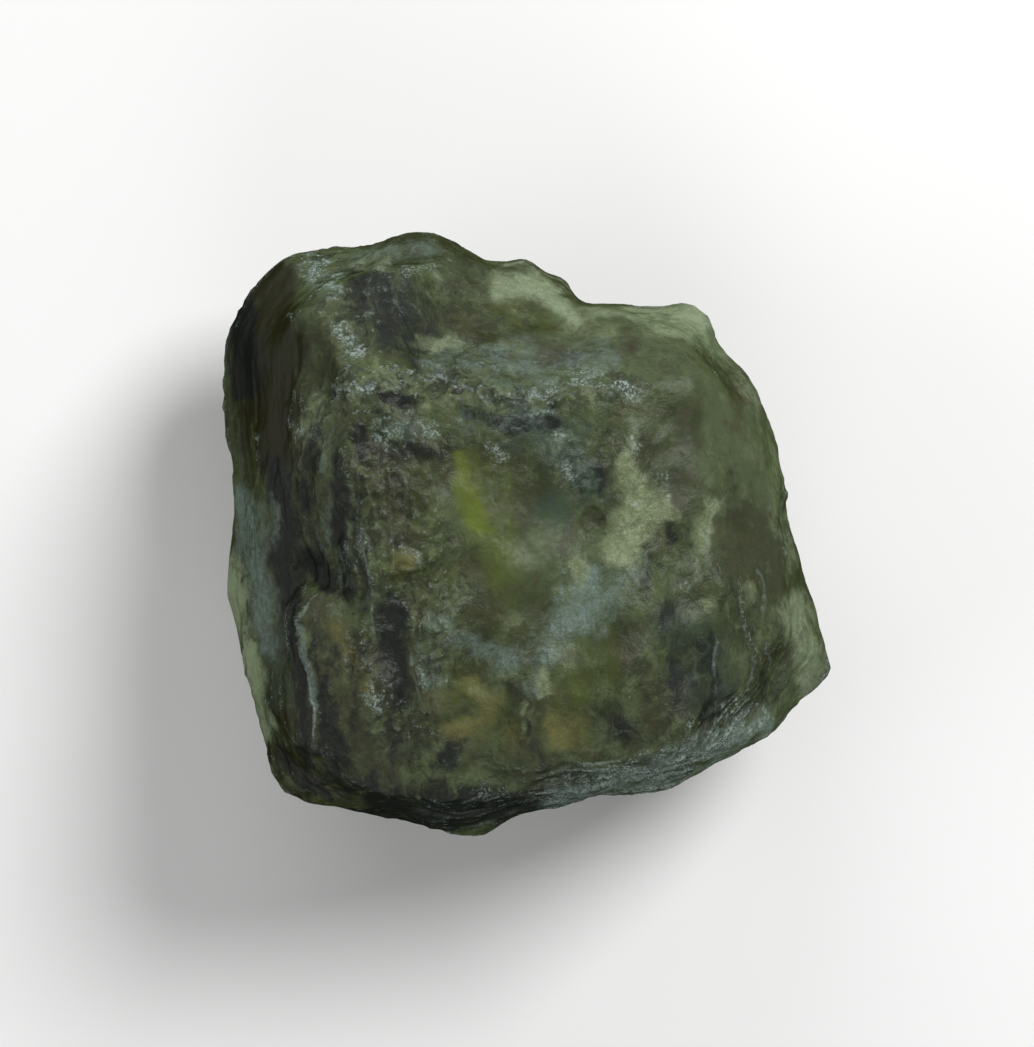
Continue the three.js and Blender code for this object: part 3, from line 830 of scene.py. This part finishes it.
finish = {
    "moss": tone(51, 58, 35),
    "olive": tone(70, 81, 53),
    "umber": tone(60, 57, 37),
    "pale": tone(98, 107, 77),
    "brown": tone(52, 50, 36),
    # near-black, also the colour of painted shade and shadows
    "darkAndShade": tone(25, 28, 26),
    # deep olive, also the colour of the painted shadow over the upper left
    "deepAndShadow": tone(36, 36, 18),
    "teal": tone(56, 74, 64),
    "glow": tone(97, 110, 42),
    "ochre": tone(108, 106, 62),
    # pale blue-grey, also the colour of painted sheen
    "blue": tone(110, 127, 119),
    "cream": tone(122, 133, 100),
    # light yellow-green of the painted glow through thin edges
    "rim": tone(134, 148, 118),
    # pale frost, also the colour of painted glints
    "frostAndGlints": tone(148, 164, 156),
    "patterns": {  # which place it is drawn on, its size in mm, octaves and roughness
        "veil": ("plain", 1.4, 4.0, 0.66),
        "flurry": ("loose", 1.0, 4.0, 0.74),
        "grit": ("loose", 0.36, 3.0, 0.7),
        "dust": ("plain", 0.12, 2.0, 0.7),
        "streak": ("along", 0.6, 4.0, 0.68),
        "band": ("across", 0.6, 4.0, 0.68),
        "nub": ("plain", 0.30, 2.0, 0.7),
    },
    "flakeSize": 0.55,  # mm
    "ground": [  # pattern, its values where the tone sets in and is full, strength, tone
        ("veil", 0.5, 0.66, 0.6, "umber"),
        ("veil", 0.48, 0.3, 0.5, "pale"),
    ],
    "layers": [  # attribute, pattern, how ragged, where it is full, strength, how mottled
        ("brown", "veil", 2.2, 1.0, 0.7, 0.4),
        ("deepAndShadow", "veil", 1.2, 0.8, 0.95, 0.0),
        ("teal", "veil", 2.4, 1.1, 0.75, 0.4),
        ("darkAndShade", "streak", 1.8, 0.85, 0.95, 0.1),
        ("glow", "streak", 1.1, 1.35, 1.0, 0.3),
        ("ochre", "veil", 2.2, 1.0, 0.8, 0.5),
        ("blue", "flurry", 2.2, 1.25, 1.0, 0.8),
        ("cream", "flurry", 1.4, 0.9, 1.0, 0.65),
        ("rim", "flurry", 1.6, 1.15, 1.0, 0.45),
    ],
    "roughness": 0.46,
    "refraction": 1.74,
    "shine": (0.0, 0.2),  # on steep sides, and on the face that looks up
    "bump": {"Strength": 0.7, "Distance": 0.1 * mm},
    "patchFrostAndGlints": 0.8,
    "wornFrost": 0.45,
    "crestFrost": 0.7,
    "lineFrost": 0.4,
    "clearShare": 0.45,  # of the surface, where the crystal is thin
    "clearRoughness": 0.3,
    "clearShine": 0.2,
    "clearColour": (0.66, 0.80, 0.36, 1.0),
    "inside": (0.55, 0.72, 0.22, 1.0),
    "absorption": 260.0,  # per metre
}


def garnetPatterns(graph):
    plain = graph.add("ShaderNodeTexCoord", {}, {}, "Object")
    loose = graph.loosened(plain, 0.8 * mm, 1.2 * mm)
    places = {
        "plain": plain,
        "loose": loose,
        "along": graph.turned(loose, 0.10, (1, 0.2, 0.3)),
        "across": graph.turned(loose, 0.20, (0.25, 1, 1)),
    }
    pattern = {"flake": graph.flakes(loose, finish["flakeSize"] * mm)}
    for name, (place, size, octaves, roughness) in finish["patterns"].items():
        pattern[name] = graph.noise(places[place], size * mm, octaves, roughness)
    return pattern


def stoneColour(graph, pattern):
    colour = graph.mix(graph.attribute("cloud").between(0.35, 0.65), finish["moss"], finish["olive"])
    for name, low, high, strength, over in finish["ground"]:
        colour = graph.mix(pattern[name].between(low, high) * strength, colour, finish[over])
    calm = 1 - graph.attribute("smooth") * 0.65
    marks = (
        ("streak", calm * (0.2 + graph.attribute("striated") * 0.8)),
        ("band", graph.attribute("banded") * 0.8),
        ("flake", calm * (0.12 + graph.attribute("rough") * 0.5)),
        ("grit", calm * 0.5),
    )
    for name, strength in marks:
        colour = graph.mix(pattern[name].between(0.52, 0.70) * strength, colour, finish["darkAndShade"])
        colour = graph.mix(pattern[name].between(0.46, 0.28) * strength * 0.6, colour, finish["pale"])
    mottle = pattern["grit"].between(0.36, 0.58) * 0.4 + pattern["dust"].between(0.4, 0.6) * 0.4
    mottle = mottle + pattern["flake"] * 0.2
    for name, kind, ragged, full, strength, mottled in finish["layers"]:
        mask = graph.attribute(name)
        patch = (mask + (pattern[kind] - 0.5) * ragged).between(0.1, full) * mask.between(0.0, 0.3)
        share = patch * ((1 - mottled + mottle * mottled) * strength)
        colour = graph.mix(share, colour, finish[name])
    thin = graph.attribute("thin")
    # painted glow where the crystal is thin, as if light came through it
    colour = graph.mix(thin.between(0.4, 0.9) * 0.45, colour, finish["rim"])
    # painted shade: sunken places and creases darkened toward the dark tone
    colour = graph.mix(graph.attribute("creaseShade") * 0.4, colour, finish["darkAndShade"])
    frostAndGlints = frostAndGlintMask(graph, pattern)
    colour = graph.mix(frostAndGlints, colour, finish["frostAndGlints"])
    return colour, frostAndGlints


def frostAndGlintMask(graph, pattern):  # pale crushed grains and painted glints: scattered patches, edges and the crests of steps
    grain = pattern["dust"] * 0.7 + pattern["grit"] * 0.3
    sugar = 0.12 + grain.between(0.46, 0.56) * 0.88
    frostAndGlintStrokes = graph.attribute("frostAndGlints")
    banded, striated = graph.attribute("banded"), graph.attribute("striated")
    drift = pattern["band"] * banded + pattern["streak"] * (1 - banded) * striated
    drift = drift + pattern["flurry"] * (1 - banded) * (1 - striated) - 0.5
    patch = (frostAndGlintStrokes + drift * 3.0).between(0.35, 1.05) * frostAndGlintStrokes.between(0.0, 0.25)
    edge = graph.attribute("edge")
    worn = (grain + edge * 0.12).between(0.52, 0.7) * edge.between(0.0, 0.5)
    worn = worn * (1 - graph.attribute("brown") * 0.8)
    terrace = graph.attribute("terraceCount").fraction()
    away = (graph.attribute("lineAway") - 0.5) * 2.0 + (pattern["grit"] - 0.5) * 0.3
    broken = pattern["veil"].between(0.38, 0.54) * pattern["grit"].between(0.34, 0.56)
    crest = terrace.between(0.5, 0.8) * terrace.between(0.98, 0.85) * graph.attribute("terraced")
    crest = crest * pattern["band"].between(0.42, 0.6)
    line = away.size().between(0.10, 0.02) * graph.attribute("line") * broken
    frostAndGlints = patch * finish["patchFrostAndGlints"] + worn * finish["wornFrost"] + crest * finish["crestFrost"]
    frostAndGlints = frostAndGlints * sugar + line * finish["lineFrost"]
    return frostAndGlints.clamped() * (1 - 0.5 * graph.attribute("darkAndShade"))


def garnetMaterial():
    graph = Graph("roughGarnet")
    pattern = garnetPatterns(graph)
    colour, frostAndGlints = stoneColour(graph, pattern)
    roughness = finish["roughness"] + 0.3 * (pattern["veil"] - 0.5) + frostAndGlints * 0.2
    bumpy = pattern["nub"] * (1 - graph.attribute("smooth") * 0.8)
    bump = graph.add("ShaderNodeBump", {}, {**finish["bump"], "Height": bumpy})
    coarse = {"Base Color": colour, "Roughness": roughness, "Normal": bump}
    dull, bright = [
        graph.add("ShaderNodeBsdfPrincipled", {}, {**coarse, "Specular IOR Level": shine})
        for shine in finish["shine"]
    ]
    facing = graph.attribute("facing")
    crust = graph.add("ShaderNodeMixShader", {}, {0: facing, 1: dull, 2: bright})
    clear = graph.add(
        "ShaderNodeBsdfPrincipled",
        {},
        {
            "Base Color": finish["clearColour"],
            "Roughness": finish["clearRoughness"],
            "Normal": bump,
            "IOR": finish["refraction"],
            "Specular IOR Level": finish["clearShine"],
            "Transmission Weight": 1.0,
        },
    )
    depth = graph.attribute("thin").between(0.3, 0.8) * finish["clearShare"]
    surface = graph.add("ShaderNodeMixShader", {}, {0: depth, 1: crust, 2: clear})
    absorbed = {"Color": finish["inside"], "Density": finish["absorption"]}
    inside = graph.add("ShaderNodeVolumeAbsorption", {}, absorbed)
    graph.add("ShaderNodeOutputMaterial", {}, {"Surface": surface, "Volume": inside}, None)
    return graph.material


stone = makeStone()
stone.data.materials.append(garnetMaterial())
print("material made")


# Table and light

studio = {
    "table": (0.90, 0.90, 0.895, 1.0),
    "tableRadius": 1.2,
    "sky": 0.14,
    "lamps": [
        {"at": (0.17, 0.16, 0.28), "size": 0.16, "power": 1.1},
        {"at": (-0.10, 0.30, 0.20), "size": 0.25, "power": 0.35},
        {"at": (-0.30, -0.05, 0.22), "size": 0.25, "power": 0.26},
        {"at": (0.05, -0.30, 0.24), "size": 0.25, "power": 0.26},
    ],
}


def makeTable():
    bm = bmesh.new()
    bmesh.ops.create_circle(bm, cap_ends=True, segments=96, radius=studio["tableRadius"])
    mesh = bpy.data.meshes.new("table")
    bm.to_mesh(mesh)
    bm.free()
    table = bpy.data.objects.new("table", mesh)
    bpy.context.collection.objects.link(table)
    graph = Graph("paleTable")
    surface = graph.add(
        "ShaderNodeBsdfPrincipled", {}, {"Base Color": studio["table"], "Roughness": 0.8}
    )
    graph.add("ShaderNodeOutputMaterial", {}, {"Surface": surface}, None)
    mesh.materials.append(graph.material)


def makeLight():
    world = bpy.data.worlds.new("studio")
    bpy.context.scene.world = world
    world.use_nodes = True
    background = world.node_tree.nodes["Background"]
    background.inputs["Color"].default_value = (1.0, 1.0, 1.0, 1.0)
    background.inputs["Strength"].default_value = studio["sky"]
    for number, lamp in enumerate(studio["lamps"]):
        data = bpy.data.lights.new(f"lamp{number}", "AREA")
        data.shape = "DISK"
        data.size = lamp["size"]
        data.energy = lamp["power"]
        light = bpy.data.objects.new(f"lamp{number}", data)
        light.location = lamp["at"]
        light.rotation_euler = (-Vector(lamp["at"])).to_track_quat("-Z", "Y").to_euler()
        bpy.context.collection.objects.link(light)
    bpy.context.scene.view_settings.view_transform = "Standard"


makeTable()
makeLight()
print("table and light made")
